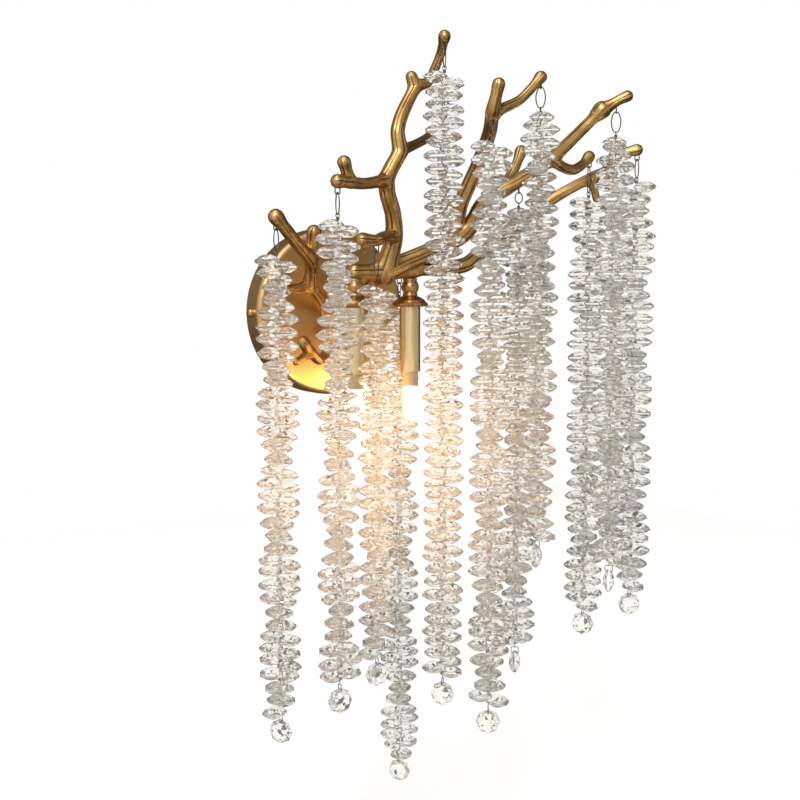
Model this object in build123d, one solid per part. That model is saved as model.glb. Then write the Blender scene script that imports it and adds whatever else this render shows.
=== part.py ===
from build123d import *
from collections import namedtuple
import math
import os

# A branch-shaped wall light: a round pan on the wall carries a cast branch with two lamps that
# point down, and strands of octagonal glass beads hang from the twigs.
# Millimetres. The origin is the middle of the pan on the wall, +X is right as seen from the front,
# +Z is up, and the light stands out along -Y. Places are given as (x, out, z), out being -Y.

# Wall plate, a round pan
PLATE_DIAMETER = 150.0
PLATE_DEPTH = 24.0
PLATE_WALL = 1.2
PLATE_EDGE_RADIUS = 5.0

# Mounting bracket inside the pan, and the two screws through the pan's side wall
BRACKET_WIDTH = 24.0
BRACKET_THICKNESS = 2.0
BRACKET_CLEARANCE = 0.6
TAB_DEPTH = 18.0
WALL_SLOT_SPACING = 70.0
WALL_SLOT_LENGTH = 12.0
WALL_SLOT_WIDTH = 5.0
CABLE_HOLE_DIAMETER = 14.0
SIDE_SCREW_DIAMETER = 4.0
SIDE_SCREW_OUT = 11.0
SIDE_SCREW_END = 4.0
SCREW_HEAD_DIAMETER = 8.0
SCREW_HEAD_HEIGHT = 4.5
SCREW_HEAD_ROUND = 2.6
SCREW_HOLE_CLEARANCE = 0.2
THREAD_CLEARANCE = 0.05

# Hub casting: boss on the pan, stem, knot and two lamp arms
HUB_X = 8.5
HUB_OUT = 95.0
HUB_Z = 36.0
HUB_RADIUS = 12.0
BOSS_DIAMETER = 28.0
BOSS_THICKNESS = 5.0
STEM_FOOT_RADIUS = 9.5
STEM_TOP_RADIUS = 8.0
SPIGOT_DIAMETER = 12.0
SPIGOT_LENGTH = 13.0
SPIGOT_BORE_DIAMETER = 6.8
STEM_BORE_DIAMETER = 6.0
ARM_BORE_DIAMETER = 5.0
ARM_RADIUS = 6.0
ARM_END_RADIUS = 7.6
ARM_SEAT_DROP = 6.0

# Lamps
LAMP_SPACING = 56.0
NIPPLE_DIAMETER = 8.0
NIPPLE_BORE = 5.4
NIPPLE_ENTRY = 2.4
NECK_LENGTH = 15.0
NECK_TOP_DIAMETER = 10.6
NECK_BELLY_DIAMETER = 15.6
NECK_FOOT_DIAMETER = 11.6
CUP_DIAMETER = 31.0
CUP_HEIGHT = 9.0
CUP_CEILING = 4.8
CUP_RIM_HEIGHT = 1.6
CUP_WALL = 1.3
SLEEVE_DIAMETER = 18.0
SLEEVE_WALL = 0.8
SLEEVE_LENGTH = 61.0
SOCKET_LENGTH = 24.0
SOCKET_CLEARANCE = 0.2
SOCKET_THREAD_DEPTH = 6.0
PIN_SPACING = 9.0
PIN_DIAMETER = 1.2
PIN_LENGTH = 9.0
PIN_CLEARANCE = 0.25
BULB_BASE_DIAMETER = 14.4
BULB_BASE_LENGTH = 12.6
BULB_SEAT_GAP = 0.3
BULB_DIAMETER = 13.0
BULB_LENGTH = 31.0
BULB_GLASS_WALL = 0.9
EMITTER_DIAMETER = 4.4
EMITTER_END_GAP = 6.0
NUT_ACROSS_FLATS = 12.0
HUB_NUT_ACROSS_FLATS = 19.0
NUT_THICKNESS = 4.0

# Wiring inside
TERMINAL_LENGTH = 26.0
TERMINAL_WIDTH = 16.0
TERMINAL_HEIGHT = 12.0
TERMINAL_START = 18.0
TERMINAL_HOLE_DIAMETER = 3.2
TERMINAL_POLES = 3
LEAD_DIAMETER = 1.6
LEAD_SPACING = 2.4
LEAD_BEND = 3.0
LEAD_OUT = 8.0

# Limbs of the branch castings, as (x, out, z, radius) from root to tip
KNUCKLE = 1.1
KNUCKLE_INSET = 0.25
LEFT_LIMB = [(-24, 46, 9, 5.6), (-44, 62, 25, 5.6), (-54, 80, 44, 5.8), (-81, 98, 64, 5.2), (-102, 110, 80, 5.8)]
LEFT_FORK = [(-54, 80, 44, 5.0), (-55, 84, 57, 4.8), (-55, 88, 69, 5.6)]
LEFT_EAR = [(-44, 62, 25, 5.0), (-60, 68, 22, 4.2), (-74, 72, 22, 3.0)]
LOWER_LIMB = [(-18, 50, -28, 4.6), (-34, 60, -40, 4.6), (-46, 66, -33, 4.4), (-57, 72, -24, 5.2)]
LOWER_LEG = [(-46, 66, -33, 3.8), (-64, 72, -40, 3.2)]
MAIN_LIMB = [
    (15, 105, 63, 7.6), (8, 112, 84, 7.0), (-1, 118, 100, 6.9), (-4, 121, 112, 6.8), (0, 122, 122, 6.5),
    (8, 122, 136, 6.4), (7, 121, 153, 6.0), (14, 118, 169, 5.6), (28, 116, 190, 5.0), (41, 117, 197, 4.3),
    (43, 131, 217, 3.8), (36, 147, 229, 4.6),
]
MAIN_KNOB = [(28, 116, 190, 4.4), (24, 116, 199, 4.4)]
MAIN_RIGHT_TWIG = [(8, 122, 136, 4.8), (38, 106, 146, 4.0), (58, 96, 154, 4.6)]
MAIN_LEFT_TWIG = [(-4, 121, 112, 5.4), (-36, 140, 107, 4.6), (-60, 156, 106, 4.8), (-77, 165, 106, 5.0)]
MAIN_LEFT_TIP = [(-60, 156, 106, 4.4), (-68, 160, 121, 4.9)]
MAIN_LOW_TWIG = [(13, 107, 66, 5.4), (-10, 126, 65, 4.7), (-27, 141.5, 61.5, 5.0), (-40, 141, 62, 5.2)]
MIDDLE_LIMB = [
    (60, 107, 57, 6.8), (73, 111, 76, 6.8), (75, 118, 97, 6.6), (79, 135, 126, 6.2), (72, 161, 151, 5.9),
    (54, 189, 164, 5.6), (55, 196, 186, 4.7),
]
MIDDLE_FORK = [(54, 189, 164, 4.8), (80, 189, 175, 4.0), (92, 190, 185, 4.0), (103, 190, 196, 4.6)]
UPPER_LIMB = [
    (79, 112, 67, 7.2), (94, 124, 95, 6.9), (118, 143, 115, 6.6), (136, 165, 133, 6.3), (151, 186, 156, 6.0),
    (165, 200, 176, 6.8), (173, 205, 180, 5.6), (181, 210, 184, 4.4),
]
UPPER_BACK_TWIG = [(106, 133, 105, 5.2), (125, 128, 127, 4.5), (135, 124, 142, 5.0)]
UPPER_LOW_TWIG = [(136, 165, 133, 5.2), (150, 162, 127, 4.6), (166, 158, 125, 4.5), (181, 154, 131, 4.4),
                  (190, 152, 138, 4.7)]
RIGHT_LIMB = [
    (84, 104, 41, 6.6), (106, 107, 54, 6.4), (174, 120, 101, 6.0), (200, 142, 120, 5.4), (207, 155, 126, 5.0),
    (215, 167, 140, 4.6), (226, 175, 144, 4.6),
]
RIGHT_PRONG = [(201, 143, 120, 4.2), (210, 140, 102, 3.4)]
HUB_BACK_TWIG = [(30, 76, 40, 5.2), (50, 57, 36, 5.8)]
ROOT_RADIUS = 7.4
BOSS_ROOT_RADIUS = 5.6
RIGHT_ROOT_RADIUS = 6.2
RIGHT_ROOT_LIFT = 2.4

# Wire eyes in the twigs and oval links
WIRE_DIAMETER = 1.0
EYE_WIDTH = 4.0
EYE_DROP = 4.2
EYE_BEND = 1.0
EYE_SET_DEPTH = 4.5
EYE_HOLE_CLEARANCE = 0.05
LINK_END_SHARE = 0.65
LINK_PLAY = 0.1
Link = namedtuple("Link", "height width")
SHORT_LINK = Link(9.4, 6.4)
OVAL_LINK = Link(17.0, 8.0)
LONG_LINK = Link(24.0, 8.4)

# Bead strands
BEAD_DIAMETER = 20.4
BEAD_SIDES = 8
BEAD_THICKNESS = 9.4
BEAD_GIRDLE = 1.0
BEAD_TABLE_DIAMETER = 7.0
BEAD_HOLE_EDGE = 2.6
BEAD_HOLE_DIAMETER = 1.5
BEAD_GAP = 1.05
BEAD_END_GAP = 0.5
BEAD_DROOP = 1.2
BEAD_TILT = 1.2
BEAD_TILT_STEP = 1.9
BEAD_SPREAD = 25.0
BEAD_SPREAD_STEP = 0.5
STRAND_WIRE_DIAMETER = 0.7
STRAND_EYE_RADIUS = 1.5
CRIMP_DIAMETER = 2.6
CRIMP_LENGTH = 2.4
STIRRUP_WIDTH = 6.4
STIRRUP_HEIGHT = 5.4
STIRRUP_BEND = 1.2

# Each strand: the limb point it hangs from, its link, its beads and the heading it swings along,
# in degrees from +X towards the front
Strand = namedtuple("Strand", "point link beads heading")
STRANDS = [
    Strand(LEFT_LIMB[-1], OVAL_LINK, 71, 145),
    Strand(MAIN_LEFT_TWIG[-1], OVAL_LINK, 69, 100),
    Strand(MAIN_LOW_TWIG[-2], LONG_LINK, 58, 100),
    Strand(HUB_BACK_TWIG[-1], SHORT_LINK, 80, 145),
    Strand(MAIN_LIMB[-1], OVAL_LINK, 96, 140),
    Strand(MIDDLE_LIMB[-2], SHORT_LINK, 88, 125),
    Strand(UPPER_LIMB[2], SHORT_LINK, 73, 45),
    Strand(MIDDLE_FORK[-1], OVAL_LINK, 67, 232),
    Strand(UPPER_LOW_TWIG[-1], LONG_LINK, 70, 147),
    Strand(UPPER_LIMB[-2], OVAL_LINK, 69, 45),
    Strand(RIGHT_LIMB[-1], OVAL_LINK, 69, 290),
]

# Places worked out from the sizes above
HUB = (HUB_X, HUB_OUT, HUB_Z)
LAMP_X = {"left": HUB_X - LAMP_SPACING / 2, "right": HUB_X + LAMP_SPACING / 2}
PLATE_RADIUS = PLATE_DIAMETER / 2
BOSS_FACE_OUT = PLATE_DEPTH + BOSS_THICKNESS
STEM_FOOT = (0, BOSS_FACE_OUT, 0)
TAB_FACE_X = math.sqrt((PLATE_RADIUS - PLATE_WALL) ** 2 - (BRACKET_WIDTH / 2) ** 2) - BRACKET_CLEARANCE
NECK_TOP_Z = HUB_Z - ARM_SEAT_DROP
CUP_TOP_Z = NECK_TOP_Z - NECK_LENGTH
SLEEVE_TOP_Z = CUP_TOP_Z - CUP_CEILING
SLEEVE_END_Z = SLEEVE_TOP_Z - SLEEVE_LENGTH
SOCKET_TOP_Z = SLEEVE_END_Z + SOCKET_LENGTH
NIPPLE_TOP_Z = NECK_TOP_Z + NIPPLE_ENTRY
NIPPLE_END_Z = SOCKET_TOP_Z - SOCKET_THREAD_DEPTH
BULB_TOP_Z = SLEEVE_END_Z - BULB_SEAT_GAP
BULB_GLASS_TOP_Z = BULB_TOP_Z - BULB_BASE_LENGTH
BEAD_WIRE_OFFSET = BEAD_DIAMETER / 2 - BEAD_HOLE_EDGE
CROWN_SLOPE = (BEAD_THICKNESS - BEAD_GIRDLE) / (BEAD_DIAMETER - BEAD_TABLE_DIAMETER)
BEAD_AT_WIRE = BEAD_GIRDLE + 2 * CROWN_SLOPE * BEAD_HOLE_EDGE
BEAD_PITCH = BEAD_AT_WIRE + BEAD_GAP
OUTWARD = (0, -1, 0)
ACROSS = (1, 0, 0)


def at(place):
    """Point of the model for a place given as (x, out, z)."""
    return Vector(place[0], -place[1], place[2])


def rod(radius, start, end):
    """Round bar between two points."""
    line = end - start
    return Solid.make_cylinder(radius, line.length, Plane(start, z_dir=line))


def upright(radius, x, out, low, high):
    """Round bar standing between two heights."""
    return rod(radius, at((x, out, low)), at((x, out, high)))


def outward_rod(radius, near, far, x=0.0, z=0.0):
    """Round bar along the wall's normal between two distances out."""
    return rod(radius, at((x, near, z)), at((x, far, z)))


def turned(profile, x, out):
    """Solid turned about an upright axis from (radius, z) corners."""
    face = Plane.XZ * make_face(Polyline(*profile, close=True))
    return Pos(x, -out, 0) * revolve(face, Axis.Z)


def limb(points):
    """Tapered bars through (x, out, z, radius) points, with a round knuckle on each point."""
    pieces = []
    for first, last in zip(points, points[1:]):
        line = (at(last) - at(first)).normalized()
        start = at(first) + line * (first[3] * KNUCKLE_INSET)
        end = at(last) - line * (last[3] * KNUCKLE_INSET)
        pieces.append(taper(first[3], last[3], start, end))
        pieces.append(ball(last[3] * KNUCKLE, at(last), line))
    return pieces


def ball(radius, centre, axis):
    """Ball whose poles lie along the bar that enters it."""
    return Solid.make_sphere(radius, Plane(centre, z_dir=axis))


def taper(start_radius, end_radius, start, end):
    """Round bar between two points whose radius may change along it."""
    if start_radius == end_radius:
        return rod(start_radius, start, end)
    line = end - start
    return Solid.make_cone(start_radius, end_radius, line.length, Plane(start, z_dir=line))


def casting(limbs, parents):
    """One casting joined from limbs and coped to the castings that carry it."""
    pieces = [piece for points in limbs for piece in limb(points)]
    coped = (pieces[0] + pieces[1:]) - parents
    return max(coped.solids(), key=lambda solid: solid.volume)


def wall_plate():
    """Round pan with a rounded front edge, a hole for the hub and two side screw holes."""
    outer = outward_rod(PLATE_RADIUS, 0, PLATE_DEPTH)
    outer = fillet(outer.edges().sort_by(Axis.Y)[0], PLATE_EDGE_RADIUS)
    inner = outward_rod(PLATE_RADIUS - PLATE_WALL, 0, PLATE_DEPTH - PLATE_WALL)
    inner = fillet(inner.edges().sort_by(Axis.Y)[0], PLATE_EDGE_RADIUS - PLATE_WALL)
    hub_hole = outward_rod(SPIGOT_DIAMETER / 2 + SCREW_HOLE_CLEARANCE, 0, PLATE_DEPTH)
    screw_holes = rod(
        SIDE_SCREW_DIAMETER / 2 + SCREW_HOLE_CLEARANCE,
        at((-PLATE_DIAMETER, SIDE_SCREW_OUT, 0)),
        at((PLATE_DIAMETER, SIDE_SCREW_OUT, 0)),
    )
    return outer - inner - hub_hole - screw_holes


def mounting_bracket():
    """Flat bar on the wall with two wall slots, a cable hole and a tapped tab at each end."""
    bar = Box(2 * TAB_FACE_X, BRACKET_THICKNESS, BRACKET_WIDTH, align=(Align.CENTER, Align.MAX, Align.CENTER))
    tab = Box(BRACKET_THICKNESS, TAB_DEPTH, BRACKET_WIDTH, align=(Align.MAX, Align.MAX, Align.CENTER))
    bracket = bar + [Pos(TAB_FACE_X, 0, 0) * tab, Pos(BRACKET_THICKNESS - TAB_FACE_X, 0, 0) * tab]
    slot = Plane.XZ * extrude(SlotOverall(WALL_SLOT_LENGTH, WALL_SLOT_WIDTH), BRACKET_THICKNESS)
    for side in (-1, 1):
        bracket -= Pos(side * WALL_SLOT_SPACING / 2, 0, 0) * slot
    bracket -= outward_rod(CABLE_HOLE_DIAMETER / 2, 0, BRACKET_THICKNESS)
    return bracket - rod(
        SIDE_SCREW_DIAMETER / 2 + THREAD_CLEARANCE,
        at((-PLATE_RADIUS, SIDE_SCREW_OUT, 0)),
        at((PLATE_RADIUS, SIDE_SCREW_OUT, 0)),
    )


def side_screws():
    """Two cap screws through the pan's side wall into the bracket's tabs."""
    seat_x = PLATE_RADIUS + THREAD_CLEARANCE
    end_x = TAB_FACE_X - BRACKET_THICKNESS - SIDE_SCREW_END
    screws = []
    for side in (-1, 1):
        seat = at((side * seat_x, SIDE_SCREW_OUT, 0))
        head = rod(SCREW_HEAD_DIAMETER / 2, seat, seat + Vector(side * SCREW_HEAD_HEIGHT, 0, 0))
        head = fillet(head.edges().sort_by(Axis.X)[-1 if side > 0 else 0], SCREW_HEAD_ROUND)
        shank = rod(SIDE_SCREW_DIAMETER / 2, at((side * end_x, SIDE_SCREW_OUT, 0)), seat)
        screws.append(head + shank)
    return Compound(screws)


def lead_bores():
    """Drilled way for the leads: spigot, stem, both arms and the nipple seats."""
    past = Vector(ARM_BORE_DIAMETER / 2, 0, 0)
    bores = [
        outward_rod(SPIGOT_BORE_DIAMETER / 2, PLATE_DEPTH - SPIGOT_LENGTH, BOSS_FACE_OUT),
        rod(STEM_BORE_DIAMETER / 2, stem_start(STEM_BORE_DIAMETER / 2), at(HUB)),
        rod(ARM_BORE_DIAMETER / 2, at(arm_end("left")) - past, at(arm_end("right")) + past),
    ]
    for x in LAMP_X.values():
        bores.append(upright(NIPPLE_BORE / 2, x, HUB_OUT, NECK_TOP_Z, HUB_Z))
        bores.append(upright(NIPPLE_DIAMETER / 2 + THREAD_CLEARANCE, x, HUB_OUT, NECK_TOP_Z, NIPPLE_TOP_Z))
    return bores


def stem_start(radius):
    """Start of a bar of one radius along the stem, sunk so that it meets the boss all round."""
    line = (at(HUB) - at(STEM_FOOT)).normalized()
    return at(STEM_FOOT) - line * radius


def arm_end(side):
    """Middle of the ball at the end of a lamp arm."""
    return (LAMP_X[side], HUB_OUT, HUB_Z)


def hub_blank():
    """Hub casting before drilling: boss, stem, knot, two lamp arms and a twig at the back."""
    stem = taper(STEM_FOOT_RADIUS, STEM_TOP_RADIUS, stem_start(STEM_FOOT_RADIUS), at(HUB))
    pieces = [
        outward_rod(BOSS_DIAMETER / 2, PLATE_DEPTH, BOSS_FACE_OUT),
        stem - outward_rod(PLATE_RADIUS, 0, PLATE_DEPTH),
        ball(HUB_RADIUS, at(HUB), ACROSS),
        rod(ARM_RADIUS, at(arm_end("left")), at(arm_end("right"))),
    ]
    pieces += [ball(ARM_END_RADIUS, at(arm_end(side)), ACROSS) for side in LAMP_X]
    pieces += limb([(*HUB, HUB_BACK_TWIG[0][3]), *HUB_BACK_TWIG])
    return pieces[0] + pieces[1:]


def branch_hub(blank):
    """Hub casting with its threaded spigot, flat lamp seats and drilled ways."""
    spigot = outward_rod(SPIGOT_DIAMETER / 2, PLATE_DEPTH - SPIGOT_LENGTH, PLATE_DEPTH)
    seat = Box(2 * ARM_END_RADIUS, 2 * ARM_END_RADIUS, ARM_END_RADIUS, align=(Align.CENTER, Align.CENTER, Align.MAX))
    seats = [Pos(at((x, HUB_OUT, NECK_TOP_Z))) * seat for x in LAMP_X.values()]
    return drilled((blank + spigot) - seats - lead_bores())


def branches():
    """Branch castings by name, each coped to the castings that carry it."""
    hub = hub_blank()
    boss_root = (0, BOSS_FACE_OUT, 0, BOSS_ROOT_RADIUS)
    hub_root = (*HUB, ROOT_RADIUS)
    right_root = (LAMP_X["right"], HUB_OUT, HUB_Z + RIGHT_ROOT_LIFT, RIGHT_ROOT_RADIUS)
    main_limbs = [MAIN_KNOB, MAIN_RIGHT_TWIG, MAIN_LEFT_TWIG, MAIN_LEFT_TIP, MAIN_LOW_TWIG]
    left = casting([[boss_root, *LEFT_LIMB], LEFT_FORK, LEFT_EAR], [hub])
    lower = casting([[boss_root, *LOWER_LIMB], LOWER_LEG], [hub, left])
    right = casting([[right_root, *RIGHT_LIMB], RIGHT_PRONG], [hub])
    upper = casting([[hub_root, *UPPER_LIMB], UPPER_BACK_TWIG, UPPER_LOW_TWIG], [hub, right])
    middle = casting([MIDDLE_LIMB, MIDDLE_FORK], [upper])
    main = casting([[hub_root, *MAIN_LIMB], *main_limbs], [hub, upper])
    return {
        "branch_hub": branch_hub(hub),
        "left_branch": drilled(left),
        "lower_twig": lower,
        "main_branch": drilled(main),
        "middle_branch": drilled(middle),
        "upper_right_branch": drilled(upper),
        "right_branch": drilled(right),
    }


def eye_bar(strand):
    """Middle of the wire eye's straight bottom, which is where the strand swings."""
    x, out, z, radius = strand.point
    return at((x, out, z - radius * KNUCKLE - EYE_DROP))


def swing_direction(strand):
    """Horizontal direction that a strand swings along."""
    heading = math.radians(strand.heading)
    return Vector(math.cos(heading), -math.sin(heading), 0)


def drilled(piece):
    """A casting with the two set holes for each wire eye that sits in it."""
    box = piece.bounding_box()
    holes = []
    for strand in STRANDS:
        bar = eye_bar(strand)
        side = swing_direction(strand).cross(Vector(0, 0, 1)) * (EYE_WIDTH / 2)
        for foot in (bar - side, bar + side):
            hole = rod(WIRE_DIAMETER / 2 + EYE_HOLE_CLEARANCE, foot, foot + Vector(0, 0, eye_height()))
            if box.overlaps(hole.bounding_box()):
                holes.append(hole)
    return piece - holes if holes else piece


def eye_height():
    """Height of a wire eye from its bottom bar to its set ends."""
    return EYE_DROP + EYE_SET_DEPTH


def wire_eye(strand):
    """U-shaped wire eye with both ends set in the twig and a straight bottom bar."""
    bar = eye_bar(strand)
    side = swing_direction(strand).cross(Vector(0, 0, 1)) * (EYE_WIDTH / 2)
    rise = Vector(0, 0, eye_height())
    path = FilletPolyline(bar - side + rise, bar - side, bar + side, bar + side + rise, radius=EYE_BEND)
    return swept(WIRE_DIAMETER, path)


def swept(diameter, path):
    """Round wire along a path."""
    return sweep(Plane(path @ 0, z_dir=path % 0) * Circle(diameter / 2), path=path)


def link_plane(strand):
    """Plane of a strand's oval link, with its local y up, centred on the link."""
    lift = WIRE_DIAMETER + LINK_PLAY
    centre = eye_bar(strand) + Vector(0, 0, lift - strand.link.height / 2)
    direction = swing_direction(strand)
    return Plane(centre, x_dir=direction, z_dir=direction.cross(Vector(0, 0, 1)))


def oval_link(strand):
    """Wire link whose middle line is an oval of four tangent arcs."""
    half_width = strand.link.width / 2
    end_radius = LINK_END_SHARE * half_width
    end_y = strand.link.height / 2 - end_radius
    side_radius = (half_width**2 + end_y**2 - end_radius**2) / (2 * (half_width - end_radius))
    side_x = side_radius - half_width
    turn = math.degrees(math.atan2(end_y, side_x))
    arcs = [
        CenterArc((0, end_y), end_radius, turn, 180 - 2 * turn),
        CenterArc((side_x, 0), side_radius, 180 - turn, 2 * turn),
        CenterArc((0, -end_y), end_radius, 180 + turn, 180 - 2 * turn),
        CenterArc((-side_x, 0), side_radius, -turn, 2 * turn),
    ]
    return swept(WIRE_DIAMETER, Wire([link_plane(strand) * arc for arc in arcs]))


def bead_reach(width):
    """Half height of a bead over a round of the given width about its hole, with the end gap."""
    return BEAD_AT_WIRE / 2 + CROWN_SLOPE * width / 2 + BEAD_END_GAP


def strand_levels(strand):
    """Heights of a strand: its wire's eye, the crimp's foot, the first bead and the stirrup's bar."""
    link_foot = eye_bar(strand).Z + WIRE_DIAMETER + LINK_PLAY - strand.link.height
    eye = link_foot + WIRE_DIAMETER / 2 + LINK_PLAY + STRAND_WIRE_DIAMETER / 2 - STRAND_EYE_RADIUS
    crimp_foot = eye - STRAND_EYE_RADIUS - CRIMP_LENGTH
    first = crimp_foot - bead_reach(CRIMP_DIAMETER)
    last = first - (strand.beads - 1) * BEAD_PITCH
    stirrup_top = last - bead_reach(STIRRUP_WIDTH + STRAND_WIRE_DIAMETER) - STRAND_WIRE_DIAMETER / 2
    return eye, crimp_foot, first, stirrup_top - STIRRUP_HEIGHT


def strand_wire(strand):
    """Strand wire with an eye on the link, a crimp, and a stirrup that holds the last bead."""
    eye, crimp_foot, _, stirrup = strand_levels(strand)
    x, y = eye_bar(strand).X, eye_bar(strand).Y
    direction = swing_direction(strand)
    ring = Solid.make_torus(STRAND_EYE_RADIUS, STRAND_WIRE_DIAMETER / 2, Plane((x, y, eye), z_dir=direction))
    top = Vector(x, y, eye - STRAND_EYE_RADIUS)
    wire = rod(STRAND_WIRE_DIAMETER / 2, Vector(x, y, stirrup + STIRRUP_HEIGHT), top)
    crimp = rod(CRIMP_DIAMETER / 2, Vector(x, y, crimp_foot), top)
    middle = Vector(x, y, stirrup + STIRRUP_HEIGHT / 2)
    outline = RectangleRounded(STIRRUP_WIDTH, STIRRUP_HEIGHT, STIRRUP_BEND).wire()
    loop = swept(STRAND_WIRE_DIAMETER, Plane(middle, x_dir=direction, z_dir=direction.cross(Vector(0, 0, 1))) * outline)
    return wire + [ring, crimp, loop]


def octagon_bead():
    """Faceted octagon with a hole near one corner, the hole on the local z axis."""
    levels = [
        (BEAD_TABLE_DIAMETER, -BEAD_THICKNESS / 2),
        (BEAD_DIAMETER, -BEAD_GIRDLE / 2),
        (BEAD_DIAMETER, BEAD_GIRDLE / 2),
        (BEAD_TABLE_DIAMETER, BEAD_THICKNESS / 2),
    ]
    rings = [octagon_corners(width / 2, z) for width, z in levels]
    facets = [rings[0], rings[-1]]
    for low, high in zip(rings, rings[1:]):
        for corner in range(BEAD_SIDES):
            following = (corner + 1) % BEAD_SIDES
            facets.append([low[corner], low[following], high[following], high[corner]])
    bead = Solid(Shell([Face(Wire.make_polygon(facet, close=True)) for facet in facets]))
    return bead - Cylinder(BEAD_HOLE_DIAMETER / 2, 2 * BEAD_THICKNESS)


def octagon_corners(radius, z):
    """Corners of a bead's outline at one level, one corner towards the local x axis."""
    turns = [2 * math.pi * corner / BEAD_SIDES for corner in range(BEAD_SIDES)]
    return [Vector(BEAD_WIRE_OFFSET + radius * math.cos(turn), radius * math.sin(turn), z) for turn in turns]


def strand_beads(strand, number, bead):
    """Beads of one strand, turned to alternate sides by uneven steps, and the upright last bead."""
    _, _, first, stirrup = strand_levels(strand)
    x, y = eye_bar(strand).X, eye_bar(strand).Y
    heading = strand.heading + number
    beads = []
    for index in range(strand.beads):
        tilt = BEAD_DROOP + BEAD_TILT * math.sin(number + BEAD_TILT_STEP * index)
        place = Pos(x, y, first - index * BEAD_PITCH) * Rot(Z=heading) * Rot(Y=tilt)
        beads.append(place * bead)
        heading += 180 + BEAD_SPREAD * math.sin(number + BEAD_SPREAD_STEP * index)
    hang = stirrup - (BEAD_HOLE_DIAMETER - STRAND_WIRE_DIAMETER) / 2 + THREAD_CLEARANCE
    beads.append(Plane((x, y, hang), x_dir=(0, 0, -1), z_dir=swing_direction(strand)).location * bead)
    return Compound(beads)


def lamp_neck(x):
    """Turned pear-shaped neck under a lamp arm."""
    bore = NIPPLE_DIAMETER / 2 + SCREW_HOLE_CLEARANCE
    belly_z = CUP_TOP_Z + NECK_LENGTH / 2
    with_belly = ThreePointArc(
        (NECK_TOP_DIAMETER / 2, NECK_TOP_Z), (NECK_BELLY_DIAMETER / 2, belly_z), (NECK_FOOT_DIAMETER / 2, CUP_TOP_Z)
    )
    rest = Polyline(with_belly @ 1, (bore, CUP_TOP_Z), (bore, NECK_TOP_Z), with_belly @ 0)
    face = Plane.XZ * make_face([with_belly, rest])
    return Pos(x, -HUB_OUT, 0) * revolve(face, Axis.Z)


def lamp_cup(x):
    """Flared cup, open downwards, whose ceiling the sleeve stands against."""
    bore = NIPPLE_DIAMETER / 2 + SCREW_HOLE_CLEARANCE
    rim = CUP_DIAMETER / 2
    rim_z = CUP_TOP_Z - CUP_HEIGHT
    ceiling = SLEEVE_DIAMETER / 2 + SOCKET_CLEARANCE
    profile = [
        (bore, CUP_TOP_Z),
        (NECK_FOOT_DIAMETER / 2, CUP_TOP_Z),
        (rim, rim_z + CUP_RIM_HEIGHT),
        (rim, rim_z),
        (rim - CUP_WALL, rim_z),
        (ceiling, SLEEVE_TOP_Z),
        (bore, SLEEVE_TOP_Z),
    ]
    return turned(profile, x, HUB_OUT)


def lamp_sleeve(x):
    """Plain candle sleeve."""
    outer = upright(SLEEVE_DIAMETER / 2, x, HUB_OUT, SLEEVE_END_Z, SLEEVE_TOP_Z)
    return outer - upright(SLEEVE_DIAMETER / 2 - SLEEVE_WALL, x, HUB_OUT, SLEEVE_END_Z, SLEEVE_TOP_Z)


def lamp_socket(x):
    """Ceramic two-pin socket on the end of the nipple."""
    radius = SLEEVE_DIAMETER / 2 - SLEEVE_WALL - SOCKET_CLEARANCE
    body = upright(radius, x, HUB_OUT, SLEEVE_END_Z, SOCKET_TOP_Z)
    body -= upright(NIPPLE_DIAMETER / 2 + THREAD_CLEARANCE, x, HUB_OUT, NIPPLE_END_Z, SOCKET_TOP_Z)
    pin_hole = PIN_DIAMETER / 2 + PIN_CLEARANCE
    pin_top = SLEEVE_END_Z + PIN_LENGTH + PIN_CLEARANCE
    for side in (-1, 1):
        body -= upright(pin_hole, x + side * PIN_SPACING / 2, HUB_OUT, SLEEVE_END_Z, pin_top)
    return body


def bulb_base(x):
    """Base of the bulb with two pins up into the socket and the glowing stalk below."""
    base = upright(BULB_BASE_DIAMETER / 2, x, HUB_OUT, BULB_GLASS_TOP_Z, BULB_TOP_Z)
    stalk_end = BULB_GLASS_TOP_Z - BULB_LENGTH + EMITTER_END_GAP
    parts = [upright(EMITTER_DIAMETER / 2, x, HUB_OUT, stalk_end, BULB_GLASS_TOP_Z)]
    for side in (-1, 1):
        pin_x = x + side * PIN_SPACING / 2
        parts.append(upright(PIN_DIAMETER / 2, pin_x, HUB_OUT, BULB_TOP_Z, BULB_TOP_Z + PIN_LENGTH))
    return base + parts


def capsule(radius, length, x):
    """Round-ended bar hanging from the foot of the bulb's base."""
    straight = upright(radius, x, HUB_OUT, BULB_GLASS_TOP_Z - length + radius, BULB_GLASS_TOP_Z)
    return straight + Solid.make_sphere(radius, Plane(at((x, HUB_OUT, BULB_GLASS_TOP_Z - length + radius))))


def bulb_glass(x):
    """Hollow glass capsule seated on the bulb's base."""
    radius = BULB_DIAMETER / 2
    return capsule(radius, BULB_LENGTH, x) - capsule(radius - BULB_GLASS_WALL, BULB_LENGTH - BULB_GLASS_WALL, x)


def lamp_nipples():
    """Threaded tube of each lamp, from its arm to its socket."""
    tubes = []
    for x in LAMP_X.values():
        tube = upright(NIPPLE_DIAMETER / 2, x, HUB_OUT, NIPPLE_END_Z, NIPPLE_TOP_Z)
        tubes.append(tube - upright(NIPPLE_BORE / 2, x, HUB_OUT, NIPPLE_END_Z, NIPPLE_TOP_Z))
    return Compound(tubes)


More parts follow.
